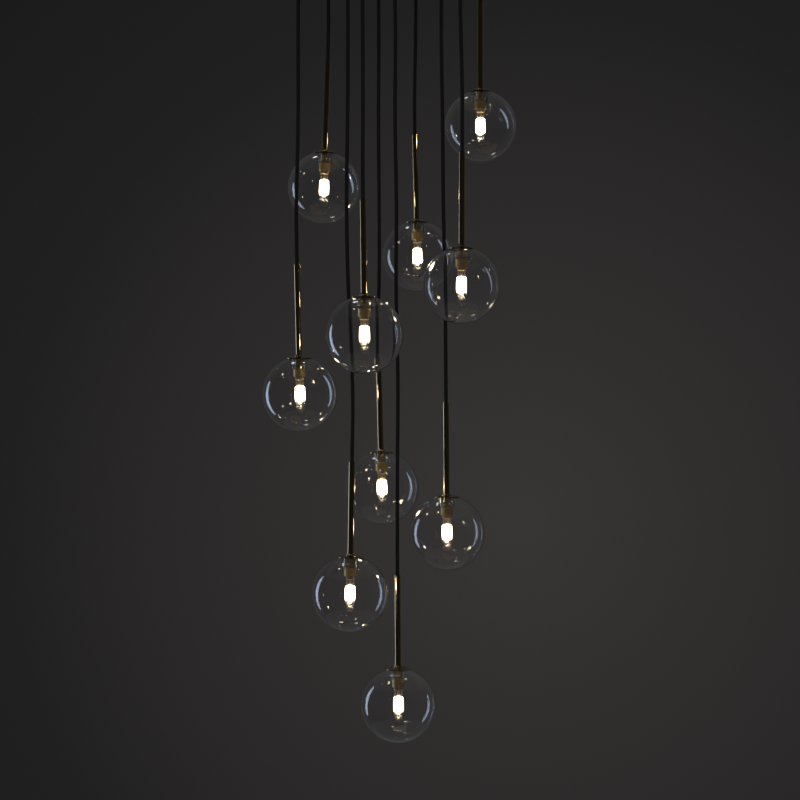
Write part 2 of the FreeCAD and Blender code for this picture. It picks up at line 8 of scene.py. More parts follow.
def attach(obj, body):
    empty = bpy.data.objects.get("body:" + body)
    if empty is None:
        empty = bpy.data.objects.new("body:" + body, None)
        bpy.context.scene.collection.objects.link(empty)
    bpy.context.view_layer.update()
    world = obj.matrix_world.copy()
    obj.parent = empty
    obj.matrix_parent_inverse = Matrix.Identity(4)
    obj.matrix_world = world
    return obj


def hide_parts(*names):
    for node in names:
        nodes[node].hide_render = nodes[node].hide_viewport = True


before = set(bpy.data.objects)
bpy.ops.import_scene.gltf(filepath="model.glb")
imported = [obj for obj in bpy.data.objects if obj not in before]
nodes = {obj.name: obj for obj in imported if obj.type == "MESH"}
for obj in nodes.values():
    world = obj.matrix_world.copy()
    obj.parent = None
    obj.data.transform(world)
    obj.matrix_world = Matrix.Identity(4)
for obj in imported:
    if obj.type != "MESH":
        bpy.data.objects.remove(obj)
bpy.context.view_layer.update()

# Ten glass globes on brass stems under one ceiling canopy. Metres; the ceiling is z = 0, and
# the viewer stands towards -Y. A pendant's own axes start in the middle of the underside of
# its brass cap, with z up the stem.

# ---- where each pendant hangs -----------------------------------------------------------
# exit: where the flex leaves the canopy (x, y). cap: the middle of the cap (x, z). lean: of
# the stem, in degrees. rise: the straight flex above the stem. length: of the whole flex.
# waves: the flex between the exit and the straight part (x, z).
pendants = {
    "01": {
        "exit": (-0.1573, -0.050), "cap": (-0.1563, -0.7126), "lean": -1.32, "rise": 0.040, "length": 0.5267,
        "waves": [(-0.1573, -0.100), (-0.1582, -0.200), (-0.1575, -0.340), (-0.1609, -0.460)],
    },
    "02": {
        "exit": (-0.1152, 0.085), "cap": (-0.1205, -0.3693), "lean": 1.66, "rise": 0.025, "length": 0.1834,
        "waves": [(-0.1152, -0.090), (-0.1147, -0.150)],
    },
    "03": {
        "exit": (-0.0781, -0.098), "cap": (-0.0733, -1.0248), "lean": 0.87, "rise": 0.040, "length": 0.8390,
        "waves": [(-0.0781, -0.106), (-0.0773, -0.216), (-0.0779, -0.340), (-0.0799, -0.460),
                  (-0.0784, -0.575), (-0.0724, -0.696), (-0.0696, -0.775)],
    },
    "04": {
        "exit": (-0.0539, -0.162), "cap": (-0.0510, -0.6218), "lean": -0.65, "rise": 0.056, "length": 0.4358,
        "waves": [(-0.0539, -0.106), (-0.0531, -0.210), (-0.0526, -0.330)],
    },
    "05": {
        "exit": (-0.0311, 0.015), "cap": (-0.0268, -0.8642), "lean": -1.54, "rise": 0.056, "length": 0.6783,
        "waves": [(-0.0311, -0.106), (-0.0302, -0.210), (-0.0312, -0.330), (-0.0299, -0.460),
                  (-0.0294, -0.580)],
    },
    "06": {
        "exit": (-0.0049, -0.050), "cap": (0.0011, -1.2061), "lean": -0.43, "rise": 0.056, "length": 1.0202,
        "waves": [(-0.0049, -0.106), (-0.0028, -0.214), (-0.0044, -0.330), (-0.0012, -0.470),
                  (-0.0029, -0.600), (0.0012, -0.740), (-0.0002, -0.880)],
    },
    "07": {
        "exit": (0.0309, 0.150), "cap": (0.0324, -0.4781), "lean": -1.26, "rise": 0.050, "length": 0.2922,
        "waves": [(0.0309, -0.110), (0.0299, -0.200)],
    },
    "08": {
        "exit": (0.0701, -0.050), "cap": (0.0783, -0.9327), "lean": -0.44, "rise": 0.060, "length": 0.7468,
        "waves": [(0.0701, -0.106), (0.0694, -0.210), (0.0719, -0.340), (0.0726, -0.470),
                  (0.0760, -0.600)],
    },
    "09": {
        "exit": (0.0973, -0.115), "cap": (0.0999, -0.5432), "lean": 0.31, "rise": 0.040, "length": 0.3572,
        "waves": [(0.0973, -0.106), (0.0980, -0.190), (0.1009, -0.290)],
    },
    "10": {
        "exit": (0.1378, 0.100), "cap": (0.1382, -0.2650), "lean": -0.09, "rise": 0.020, "length": 0.0790,
        "waves": [(0.1378, -0.070)],
    },
}
pivot_z = -0.046
stem_top = 0.148
bush_length = 0.008
flex_radius = 0.003

# ---- the camera ---------------------------------------------------------------------------
camera_data = bpy.data.cameras.new("viewer")
camera_data.lens = 85.5
camera_data.sensor_width = 36.0
camera = bpy.data.objects.new("viewer", camera_data)
camera.location = (0.004, -3.070, -0.780)
camera.rotation_euler = (math.radians(90), 0, 0)
bpy.context.collection.objects.link(camera)
bpy.context.scene.camera = camera


# ---- finishes -----------------------------------------------------------------------------
class Field:
    """A value that varies over a surface. Sums and products of fields add Math nodes."""

    def __init__(self, shading, socket):
        self.shading = shading
        self.socket = socket

    def math(self, operation, first, second=0.0):
        return self.shading.node("Math", {"operation": operation}, {0: first, 1: second})

    def __add__(self, other):
        return self.math("ADD", self, other)

    def __radd__(self, other):
        return self.math("ADD", other, self)

    def __sub__(self, other):
        return self.math("SUBTRACT", self, other)

    def __rsub__(self, other):
        return self.math("SUBTRACT", other, self)

    def __mul__(self, other):
        return self.math("MULTIPLY", self, other)

    def __rmul__(self, other):
        return self.math("MULTIPLY", other, self)

    def power(self, other):
        return self.math("POWER", self, other)

    def sine(self):
        return self.math("SINE", self)

    def size(self):
        return self.math("ABSOLUTE", self)

    def larger(self, other):
        return self.math("MAXIMUM", self, other)

    def above(self, level):
        return self.math("GREATER_THAN", self, level)


class Shading:
    """A tree of shader nodes, built node by node."""

    def __init__(self, tree):
        self.tree = tree
        self.tree.nodes.clear()

    def node(self, kind, settings=(), inputs=(), output=0):
        """Add a node and give its output; a node that ends the tree has none."""
        made = self.tree.nodes.new("ShaderNode" + kind)
        for name, value in dict(settings).items():
            if name == "stops":
                ramp = made.color_ramp
                ramp.elements[0].position, ramp.elements[0].color = value[0]
                ramp.elements[1].position, ramp.elements[1].color = value[-1]
                for place, colour in value[1:-1]:
                    ramp.elements.new(place).color = colour
            else:
                setattr(made, name, value)
        for name, value in dict(inputs).items():
            if isinstance(value, Field):
                self.tree.links.new(value.socket, made.inputs[name])
            else:
                made.inputs[name].default_value = value
        return Field(self, made.outputs[output]) if made.outputs else None

    def mix(self, factor, first, second):
        """A colour between two others."""
        return self.node("Mix", {"data_type": "RGBA"}, {0: factor, 6: first, 7: second}, 2)

    def ray(self, fact):
        """What is known of the ray that meets the surface."""
        return self.node("LightPath", output=fact)

    def seen(self):
        """One for rays that look at a thing directly, mirrored, or through glass."""
        return self.ray("Is Camera Ray") + self.ray("Is Glossy Ray") + self.ray("Is Transmission Ray")

    def turns(self):
        """How often a ray has been mirrored or scattered; going through glass doesn't count."""
        return self.ray("Ray Depth") - self.ray("Transmission Depth")


class Finish(Shading):
    """One material."""

    def __init__(self, name):
        self.material = bpy.data.materials.new(name)
        self.material.use_nodes = True
        super().__init__(self.material.node_tree)

    def place(self):
        """Where the surface is, in the piece's own axes."""
        return self.node("TexCoord", output="Object")

    def axis(self, vector, letter):
        """One of the three numbers of a vector."""
        return self.node("SeparateXYZ", {}, {0: vector}, letter)

    def noise(self, where, scale, detail=3.0, rough=0.5):
        return self.node("TexNoise", {}, {"Vector": where, "Scale": scale, "Detail": detail,
                                          "Roughness": rough}, "Fac")

    def bump(self, height, strength, distance):
        return self.node("Bump", {}, {"Height": height, "Strength": strength, "Distance": distance})

    def principled(self, inputs):
        return self.node("BsdfPrincipled", {}, inputs)

    def surface(self, shader):
        """End the material with its shader."""
        self.node("OutputMaterial", {}, {"Surface": shader})
        return self.material


def braided_flex():
    """Black textile braid: two sets of strands that cross round the flex."""
    strands_round = 8
    crossings_per_metre = 420
    finish = Finish("braided_flex")
    uv = finish.node("UVMap", {"uv_map": "round_and_along"})
    around = finish.axis(uv, "X") * (2 * math.pi * strands_round)
    along = finish.axis(uv, "Y") * (2 * math.pi * crossings_per_metre)
    left = (around + along).sine()
    right = (around - along).sine()
    on_top = ((around * 2).sine() * along.sine()).above(0.0)
    strands = left.size().power(0.7) * on_top + right.size().power(0.7) * (1 - on_top)
    fibre = finish.noise(finish.place(), 2600.0, 2.0)
    height = strands + fibre * 0.35
    # darker where the braid dips between its strands: painted shade in the grooves; the fibre noise in the
    # height adds a random tone of the yarn
    colour = finish.mix(height, (0.002, 0.002, 0.0021, 1), (0.007, 0.0068, 0.007, 1))
    return finish.surface(finish.principled({
        "Base Color": colour,
        "Roughness": 0.75 + fibre * 0.2,
        "Specular IOR Level": 0.1,
        "Normal": finish.bump(height, 0.6, 0.0004),
    }))


def brass(name, colour, deep, rough, spread, grain):
    """Lacquered brass: a little cloudiness in the polish and a fine grain."""
    finish = Finish(name)
    where = finish.place()
    cloud = finish.noise(where, 45.0, 4.0)
    fine = finish.noise(where, 900.0, 2.0)
    tone = finish.mix(cloud, colour, deep)
    return finish.surface(finish.principled({
        "Base Color": tone,
        "Metallic": 1.0,
        "Roughness": rough + cloud * spread + fine * (spread * 0.4),
        "Coat Weight": 0.10,
        "Coat Roughness": 0.06,
        "Normal": finish.bump(fine, grain, 0.0001),
    }))


def spun_brass():
    """The canopy's satin brass, with the rings that spinning and brushing leave."""
    ring_scale = 900.0
    finish = Finish("spun_brass")
    where = finish.place()
    across, deep, high = (finish.axis(where, letter) for letter in "XYZ")
    radius = (across * across + deep * deep).power(0.5)
    ring = finish.node("CombineXYZ", {}, {0: radius * ring_scale, 1: high * ring_scale, 2: 0.0})
    lines = finish.noise(ring, 1.0, 3.0)
    cloud = finish.noise(where, 14.0, 4.0)
    return finish.surface(finish.principled({
        "Base Color": finish.mix(cloud, (0.72, 0.52, 0.25, 1), (0.62, 0.43, 0.19, 1)),
        "Metallic": 0.85,
        "Roughness": 0.27 + lines * 0.10 + cloud * 0.08,
        "Normal": finish.bump(lines, 0.12, 0.0003),
    }))


def clear_glass(name, tint, wave):
    """Blown glass, with the faint unevenness that shows in its reflections."""
    finish = Finish(name)
    where = finish.place()
    swell = finish.noise(where, 16.0, 1.0)
    glass = finish.principled({
        "Base Color": tint,
        "Roughness": 0.0,
        "IOR": 1.47,
        "Transmission Weight": 1.0,
        "Normal": finish.bump(swell, wave, 0.002),
    })
    through = finish.node("BsdfTransparent", {}, {"Color": tint})
    shadow = finish.ray("Is Shadow Ray")
    return finish.surface(finish.node("MixShader", {}, {0: shadow, 1: glass, 2: through}))


def lit_glass(name, stops, tip):
    """Glass lit by the coil, over the heights of the uv layer "up". It is thin below the tip height.

    Straight, mirrored and through the globes it is far brighter than the light it throws.
    """
    glow_thrown = 1.5
    glow_seen = 6.0
    nearly_clear = (0.8, 0.8, 0.8, 1)
    finish = Finish(name)
    height = finish.axis(finish.node("UVMap", {"uv_map": "up"}), "Y")
    glow = finish.node("ValToRGB", {"stops": stops}, {0: height})
    dim, bright = (finish.principled({
        "Base Color": (1.0, 0.98, 0.94, 1),
        "Roughness": 0.0,
        "IOR": 1.47,
        "Transmission Weight": 1.0,
        "Emission Color": glow,
        "Emission Strength": strength,
    }) for strength in (glow_thrown, glow_seen))
    glass = finish.node("MixShader", {}, {0: finish.seen(), 1: dim, 2: bright})
    through = finish.node("BsdfTransparent", {}, {"Color": (1, 1, 1, 1)})
    thin = finish.node("ValToRGB", {"stops": [
        (0.0, nearly_clear), (tip, nearly_clear), (tip + 0.10, (0, 0, 0, 1)),
    ]}, {0: height})
    clear = finish.ray("Is Shadow Ray").larger(thin)
    return finish.surface(finish.node("MixShader", {}, {0: clear, 1: glass, 2: through}))


def glowing_coil():
    """The coil's wire, a little hotter in places."""
    finish = Finish("glowing_coil")
    hot = finish.noise(finish.place(), 500.0, 2.0)
    return finish.surface(finish.principled({
        "Base Color": (0.4, 0.36, 0.3, 1),
        "Roughness": 0.5,
        "Emission Color": finish.mix(hot, (1.0, 0.74, 0.42, 1), (1.0, 0.86, 0.62, 1)),
        "Emission Strength": 40.0,
    }))


def dull_metal(name, colour, deep, rough, metal=1.0):
    """Wire, foil and zinc: metal with a cloudy, finely flecked face."""
    finish = Finish(name)
    where = finish.place()
    cloud = finish.noise(where, 60.0, 5.0, 0.6)
    fleck = finish.noise(where, 700.0, 2.0)
    return finish.surface(finish.principled({
        "Base Color": finish.mix(cloud, colour, deep),
        "Metallic": metal,
        "Roughness": rough + cloud * 0.18,
        "Normal": finish.bump(fleck, 0.12, 0.0002),
    }))


def moulded(name, colour, deep, rough, grain):
    """Moulded plastic, rubber or fired clay with a fine grain."""
    finish = Finish(name)
    where = finish.place()
    grains = finish.noise(where, 1500.0, 2.0)
    cloud = finish.noise(where, 35.0, 3.0)
    return finish.surface(finish.principled({
        "Base Color": finish.mix(cloud, colour, deep),
        "Roughness": rough + grains * 0.12,
        "Normal": finish.bump(grains, grain, 0.0002),
    }))


flex_braid = braided_flex()
stem_brass = brass("polished_brass", (0.68, 0.54, 0.33, 1), (0.58, 0.45, 0.25, 1),
                   rough=0.03, spread=0.04, grain=0.01)
shell_brass = brass("turned_brass", (0.74, 0.54, 0.27, 1), (0.62, 0.43, 0.19, 1),
                    rough=0.34, spread=0.12, grain=0.10)
canopy_brass = spun_brass()
globe_glass = clear_glass("globe_glass", (0.985, 0.992, 1.0, 1), wave=0.04)
# the pinch is nowhere thin, so its tip height lies below it
pinch_glass = lit_glass("pinch_glass", [
    (0.0, (0.12, 0.085, 0.045, 1)),
    (0.45, (0.040, 0.026, 0.012, 1)),
    (0.80, (0.020, 0.012, 0.005, 1)),
    (1.0, (0.080, 0.055, 0.026, 1)),
], tip=-1.0)
capsule_glass = lit_glass("capsule_glass", [
    (0.22, (0.0, 0.0, 0.0, 1)),
    (0.32, (0.012, 0.007, 0.003, 1)),
    (0.42, (0.60, 0.48, 0.30, 1)),
    (0.50, (1.0, 0.90, 0.70, 1)),
    (0.66, (1.0, 0.88, 0.66, 1)),
    (0.80, (0.30, 0.21, 0.11, 1)),
    (0.90, (0.09, 0.060, 0.028, 1)),
    (0.98, (0.15, 0.10, 0.050, 1)),
], tip=0.26)
coil_glow = glowing_coil()
foil_metal = dull_metal("foil_metal", (0.10, 0.09, 0.09, 1), (0.05, 0.045, 0.045, 1), rough=0.42)
wire_metal = dull_metal("wire_metal", (0.55, 0.54, 0.52, 1), (0.42, 0.41, 0.40, 1), rough=0.30)
zinc_plate = dull_metal("zinc_plate", (0.62, 0.63, 0.65, 1), (0.48, 0.49, 0.50, 1), rough=0.32, metal=0.45)
fired_clay = moulded("fired_clay", (0.50, 0.38, 0.22, 1), (0.42, 0.31, 0.17, 1), rough=0.30, grain=0.15)
grip_plastic = moulded("grip_plastic", (0.020, 0.020, 0.022, 1), (0.030, 0.030, 0.032, 1),
                       rough=0.42, grain=0.25)
block_plastic = moulded("block_plastic", (0.80, 0.79, 0.76, 1), (0.72, 0.71, 0.68, 1),
                        rough=0.40, grain=0.20)
soft_rubber = moulded("soft_rubber", (0.024, 0.024, 0.025, 1), (0.036, 0.035, 0.036, 1),
                      rough=0.62, grain=0.35)


def wear(thing, material):
    """Give a carried-over CAD node its finish."""
    for slot in thing.material_slots:
        slot.material = material


def wear_below(thing, axes, level, material):
    """Give the faces of a node that lie below a level in a pendant's own axes another finish."""
    thing.data.materials.append(material)
    last = len(thing.data.materials) - 1
    local = axes.inverted() @ thing.matrix_world
    for face in thing.data.polygons:
        if (local @ face.center).z < level:
            face.material_index = last


# ---- mesh helpers ---------------------------------------------------------------------------
def piece(name, mesh, material, body, where=Matrix.Identity(4), crease=35):
    """A piece of the fixture, set in its place and riding on a body."""
    mesh.transform(where)
    mesh.materials.append(material)
    mesh.polygons.foreach_set("use_smooth", [True] * len(mesh.polygons))
    mesh.set_sharp_from_angle(angle=math.radians(crease))
    made = bpy.data.objects.new(name, mesh)
    bpy.context.collection.objects.link(made)
    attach(made, body)
    return made


def arc(middle, radius, start, finish, steps):
    """Points on an arc in a turning profile, angles in degrees from the +r axis."""
    angles = [math.radians(start + (finish - start) * i / steps) for i in range(steps + 1)]
    return [(middle[0] + radius * math.cos(a), middle[1] + radius * math.sin(a)) for a in angles]


def between_poles(profile):
    """The profile with both its ends put on the axis."""
    return [(0.0, profile[0][1])] + profile[1:-1] + [(0.0, profile[-1][1])]


def ring_angles(sides):
    """Even angles once round."""
    return [2 * math.pi * k / sides for k in range(sides)]


def meshed(build, name):
    """The mesh that a bmesh describes."""
    mesh = bpy.data.meshes.new(name)
    build.to_mesh(mesh)
    build.free()
    return mesh


def turned_mesh(name, profile, sides, low=0.0, high=1.0):
    """A closed profile (r, z) turned about z. The uv layer "up" runs from low to high."""
    on_the_axis = 1e-7
    build = bmesh.new()
    up = build.loops.layers.uv.new("up")
    rings = []
    for radius, z in profile:
        if radius < on_the_axis:
            rings.append([build.verts.new((0, 0, z))])
            continue
        rings.append([build.verts.new((radius * math.cos(a), radius * math.sin(a), z))
                      for a in ring_angles(sides)])
    for lower, upper in zip(rings, rings[1:] + rings[:1]):
        if len(lower) == 1 and len(upper) == 1:
            continue
        for k in range(sides):
            n = (k + 1) % sides
            corners = [lower[k % len(lower)], lower[n % len(lower)],
                       upper[n % len(upper)], upper[k % len(upper)]]
            corners = [c for i, c in enumerate(corners) if c is not corners[i - 1]]
            build.faces.new(corners)
    bmesh.ops.recalc_face_normals(build, faces=build.faces)
    for face in build.faces:
        for loop in face.loops:
            round_it = math.atan2(loop.vert.co.y, loop.vert.co.x) / (2 * math.pi)
            loop[up].uv = (round_it, (loop.vert.co.z - low) / (high - low))
    return meshed(build, name)


def tube_mesh(name, line, radius, sides):
    """A round tube along a line of points, with uv round it and along it in metres."""
    build = bmesh.new()
    uv = build.loops.layers.uv.new("round_and_along")
    rings = []
    distances = [0.0]
    for before, after in zip(line, line[1:]):
        distances.append(distances[-1] + (after - before).length)
    side = None
    for i, here in enumerate(line):
        ahead = (line[min(i + 1, len(line) - 1)] - line[max(i - 1, 0)]).normalized()
        if side is None:
            side = ahead.orthogonal().normalized()
        side = (side - ahead * side.dot(ahead)).normalized()
        other = ahead.cross(side)
        rings.append([build.verts.new(here + (side * math.cos(a) + other * math.sin(a)) * radius)
                      for a in ring_angles(sides)])
    for i, (lower, upper) in enumerate(zip(rings, rings[1:])):
        for k in range(sides):
            n = (k + 1) % sides
            face = build.faces.new((lower[k], lower[n], upper[n], upper[k]))
            spots = [(k, i), (k + 1, i), (k + 1, i + 1), (k, i + 1)]
            for loop, (round_it, along) in zip(face.loops, spots):
                loop[uv].uv = (round_it / sides, distances[along])
    build.faces.new(list(reversed(rings[0])))
    build.faces.new(rings[-1])
    return meshed(build, name)


def smooth_line(name, route, steps):
    """The points of the smooth curve that a route controls."""
    curve = bpy.data.curves.new(name, "CURVE")
    curve.dimensions = "3D"
    curve.resolution_u = steps
    spline = curve.splines.new("NURBS")
    spline.points.add(len(route) - 1)
    for point, spot in zip(spline.points, route):
        point.co = (spot[0], spot[1], spot[2], 1.0)
    spline.order_u = 3
    spline.use_endpoint_u = True
    holder = bpy.data.objects.new(name, curve)
    bpy.context.collection.objects.link(holder)
    bpy.context.view_layer.update()
    seen = holder.evaluated_get(bpy.context.evaluated_depsgraph_get())
    mesh = bpy.data.meshes.new_from_object(seen)
    line = [v.co.copy() for v in mesh.vertices]
    bpy.data.objects.remove(holder)
    bpy.data.meshes.remove(mesh)
    return line


# ---- the flexes -----------------------------------------------------------------------------
def hang(entry):
    """The pendant's own axes, placed in the fixture."""
    cap_x, cap_z = entry["cap"]
    spot = Matrix.Translation((cap_x, entry["exit"][1], cap_z))
    return spot @ Matrix.Rotation(math.radians(entry["lean"]), 4, "Y")


def flex(number, entry):
    """One pendant's flex, from its cord grip down into the top of its stem."""
    steps = 20
    sides = 20
    exit_x, depth = entry["exit"]
    axes = hang(entry)
    route = [Vector((exit_x, depth, pivot_z))]
    route += [Vector((x, depth, z)) for x, z in entry["waves"]]
    route.append(axes @ Vector((0, 0, stem_top + entry["rise"])))
    route.append(axes @ Vector((0, 0, stem_top - bush_length)))
    line = smooth_line("line_" + number, route, steps)
    made = piece("flex_" + number, tube_mesh("flex_" + number, line, flex_radius, sides), flex_braid,
                 "pendant_" + number)
    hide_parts("cable_" + number)


for number, entry in pendants.items():
    flex(number, entry)

# ---- glass globes -----------------------------------------------------------------------------
globe_r = 0.060
wall = 0.0018
roll = 0.0026
neck_r = 0.0104
neck_end = -0.0182
roll_z = -0.0028
# the ball's middle lies so far under the roll's that the ball runs smoothly into the roll
ball_drop = math.sqrt((globe_r - roll) ** 2 - (neck_r + roll) ** 2)
globe_z = roll_z - ball_drop
meets_at = math.degrees(math.atan2(ball_drop, neck_r + roll))


def globe_profile():
    """Round the outside, over the roll, down the neck, and back up and round the inside."""
    ball_steps = 60
    middle = (neck_r + roll, roll_z)
    lip = wall / 2
    profile = arc((0, globe_z), globe_r, -90, meets_at, ball_steps)
    profile += arc(middle, roll, meets_at, 180, 10)[1:]
    profile += arc((neck_r + lip, neck_end + lip), lip, 180, 360, 6)
    profile += arc(middle, roll - wall, 180, meets_at, 6)
    profile += arc((0, globe_z), globe_r - wall, meets_at, -90, ball_steps)[1:]
    return between_poles(profile)


def globe(number, entry):
    """One pendant's globe, with its neck rolled inward."""
    sides = 96
    name = "globe_glass_" + number
    made = piece(name, turned_mesh(name, globe_profile(), sides), globe_glass, "shade_" + number,
                 hang(entry), crease=60)
    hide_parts("globe_" + number)


for number, entry in pendants.items():
    globe(number, entry)

# ---- capsule bulbs ----------------------------------------------------------------------------
pinch_top = -0.0352
capsule_top = -0.0450
capsule_low = -0.0810
capsule_r = 0.00775
shoulder_r = 0.004
skin = 0.0010
coil_top = -0.0480
coil_low = -0.0730
coil_r = 0.0013
coil_wire_r = 0.0003
lead_r = 0.00025
foil_x = 0.0032
foil_half_thick = 0.0002
pin_x = 0.0045
pin_r = 0.0008
pin_ends = (-0.0354, -0.0267)


def capsule_profile():
    """Outside from the tip to the shoulder, and back down the inside."""
    tip = (0, capsule_low + capsule_r)
    shoulder = (capsule_r - shoulder_r, capsule_top - shoulder_r)
    profile = arc(tip, capsule_r, -90, 0, 14)
    profile += arc(shoulder, shoulder_r, 0, 90, 8)
    profile.append((0.0, capsule_top))
    profile.append((0.0, capsule_top - skin))
    profile += arc(shoulder, shoulder_r - skin, 90, 0, 8)
    profile += arc(tip, capsule_r - skin, 0, -90, 14)
    return between_poles(profile)


def pinch_mesh(name):
    """The pressed flat of glass above the capsule: round at its foot, flat with thick edges."""
    # height, half width, half thickness, and how square the section is
    levels = [
        (capsule_top, 0.0046, 0.0030, 2.2),
        (-0.0440, 0.0056, 0.0024, 2.6),
        (-0.0428, 0.0062, 0.0020, 4.0),
        (-0.0400, 0.0064, 0.0019, 5.0),
        (-0.0370, 0.0064, 0.0019, 5.0),
        (-0.0356, 0.0063, 0.0019, 5.0),
        (pinch_top, 0.0060, 0.0016, 4.0),
    ]
    # above pressed_from the middle of the section is pressed thinner than its two edges
    pressed_from = -0.0435
    edge_from = 0.72
    pressed = 0.78
    sides = 40
    build = bmesh.new()
    up = build.loops.layers.uv.new("up")
    rings = []
    for z, half_width, half_thick, square in levels:
        ring = []
        for angle in ring_angles(sides):
            c, s = math.cos(angle), math.sin(angle)
            x = half_width * math.copysign(abs(c) ** (2 / square), c)
            is_edge = abs(x) > edge_from * half_width or z <= pressed_from
            thick = half_thick * (1.0 if is_edge else pressed)
            ring.append(build.verts.new((x, thick * math.copysign(abs(s) ** (2 / square), s), z)))
        rings.append(ring)
    for lower, upper in zip(rings, rings[1:]):
        for k in range(sides):
            n = (k + 1) % sides
            build.faces.new((lower[k], lower[n], upper[n], upper[k]))
    build.faces.new(list(reversed(rings[0])))
    build.faces.new(rings[-1])
    for face in build.faces:
        for loop in face.loops:
            loop[up].uv = (0.5, (loop.vert.co.z - capsule_top) / (pinch_top - capsule_top))
    return meshed(build, name)


def coil_points():
    """The helix of the coil, from its top down."""
    coil_turns = 9
    steps = coil_turns * 16
    points = []
    for i in range(steps + 1):
        angle = 2 * math.pi * coil_turns * i / steps
        z = coil_top + (coil_low - coil_top) * i / steps
        points.append((coil_r * math.cos(angle), coil_r * math.sin(angle), z))
    return points


def foil_mesh(name, x):
    """A thin sealed foil, pointed at its ends."""
    outline = [(-0.0010, -0.0432), (0.0, -0.0440), (0.0010, -0.0432), (0.0012, -0.0400),
               (0.0010, -0.0372), (0.0, -0.0364), (-0.0010, -0.0372), (-0.0012, -0.0400)]
    build = bmesh.new()
    front = [build.verts.new((x + dx, -foil_half_thick, z)) for dx, z in outline]
    back = [build.verts.new((x + dx, foil_half_thick, z)) for dx, z in outline]
    build.faces.new(front)
    build.faces.new(list(reversed(back)))
    for k in range(len(outline)):
        n = (k + 1) % len(outline)
        build.faces.new((front[n], front[k], back[k], back[n]))
    bmesh.ops.recalc_face_normals(build, faces=build.faces)
    return meshed(build, name)


def shine(number, where, glass):
    """The light that a lamp throws, set in the middle of its coil."""
    data = bpy.data.lights.new("shine_" + number, "POINT")
    data.energy = 0.02
    data.color = (1.0, 0.80, 0.52)
    data.shadow_soft_size = 0.004
    light = bpy.data.objects.new("shine_" + number, data)
    bpy.context.collection.objects.link(light)
    light.matrix_world = where @ Matrix.Translation((0, 0, (coil_top + coil_low) / 2))
    bpy.context.view_layer.update()
    placed = light.matrix_world.copy()
    light.parent = glass
    light.matrix_world = placed


def bulb(number, entry):
    """The lamp: its glass, coil, leads, foils and pins, each a piece of its own."""
    wire_sides = 8
    where = hang(entry)
    made = []

    def part(name, mesh, material, crease=35):
        made.append(piece(name, mesh, material, "lamp_" + number, where, crease))

    def wire(name, points, radius, material, sides):
        part(name, tube_mesh(name, [Vector(p) for p in points], radius, sides), material)

    name = "capsule_" + number
    part(name, turned_mesh(name, capsule_profile(), 40, capsule_low, capsule_top), capsule_glass, crease=60)
    name = "pinch_" + number
    part(name, pinch_mesh(name), pinch_glass, crease=60)
    wire("coil_" + number, coil_points(), coil_wire_r, coil_glow, wire_sides)
    for side, label in ((-1, "left"), (1, "right")):
        name = "foil_%s_%s" % (label, number)
        part(name, foil_mesh(name, side * foil_x), foil_metal)
        pin = [(side * pin_x, 0, z) for z in pin_ends]
        wire("pin_%s_%s" % (label, number), pin, pin_r, wire_metal, 2 * wire_sides)
    lead_top = [(foil_x, 0, -0.0440), (0.0030, 0, -0.0468), (coil_r, 0, coil_top)]
    lead_low = [(-foil_x, 0, -0.0440), (-0.0046, 0, -0.0475), (-0.0050, 0, -0.0600),
                (-0.0046, 0, -0.0735), (-0.0020, 0, -0.0742), (coil_r, 0, coil_low)]
    for name, route in (("lead_top_" + number, lead_top), ("lead_low_" + number, lead_low)):
        wire(name, smooth_line(name, route, 8), lead_r, wire_metal, wire_sides)
    for one in made:
        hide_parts("bulb_" + number)
    shine(number, where, made[0])


for number, entry in pendants.items():
    bulb(number, entry)

# ---- CAD nodes that stay, with their finishes ---------------------------------------------------
shell_top = -0.0165
for number, entry in pendants.items():
    wear(nodes["fitting_" + number], stem_brass)
    wear_below(nodes["fitting_" + number], hang(entry), shell_top, shell_brass)
    wear(nodes["lampholder_" + number], fired_clay)
for name, material in (
    ("canopy_pan", canopy_brass),
    ("side_screws", stem_brass),
    ("ceiling_plate", zinc_plate),
    ("grip_nuts", zinc_plate),
    ("earth_tab", zinc_plate),
    ("cord_grips", grip_plastic),
    ("terminal_block", block_plastic),
    ("flex_tails", soft_rubber),
    ("inlet_grommet", soft_rubber),
):
    wear(nodes[name], material)

# ---- floor, air and lamps -------------------------------------------------------------------
def pale_floor():
    """A pale floor, which throws pale light up at the fixture.

    Mirrored in the glass and the brass, it is nearly as dark as the backdrop.
    """
    finish = Finish("pale_floor")
    grit = finish.noise(finish.place(), 60.0, 4.0)
    patches = finish.noise(finish.place(), 3.0, 3.0)
    pale = finish.principled({
        "Base Color": finish.mix(patches, (0.60, 0.59, 0.57, 1), (0.66, 0.65, 0.63, 1)),
        "Roughness": 0.72 + grit * 0.15,
        "Normal": finish.bump(grit, 0.2, 0.001),
    })
    dim = finish.node("Emission", {}, {
        "Color": finish.mix(patches, (0.075, 0.073, 0.070, 1), (0.085, 0.083, 0.080, 1)),
        "Strength": 1.0,
    })
    mirrored = finish.turns().above(0.5) * (1 - finish.ray("Is Diffuse Ray"))
    return finish.surface(finish.node("MixShader", {}, {0: mirrored, 1: pale, 2: dim}))


floor_z = -2.45
floor_r = 1.6
disc = bmesh.new()
bmesh.ops.create_circle(disc, cap_ends=True, segments=96, radius=floor_r)
floor = bpy.data.objects.new("floor", meshed(disc, "floor"))
floor.data.materials.append(pale_floor())
floor.location = (0, 0, floor_z)
bpy.context.collection.objects.link(floor)


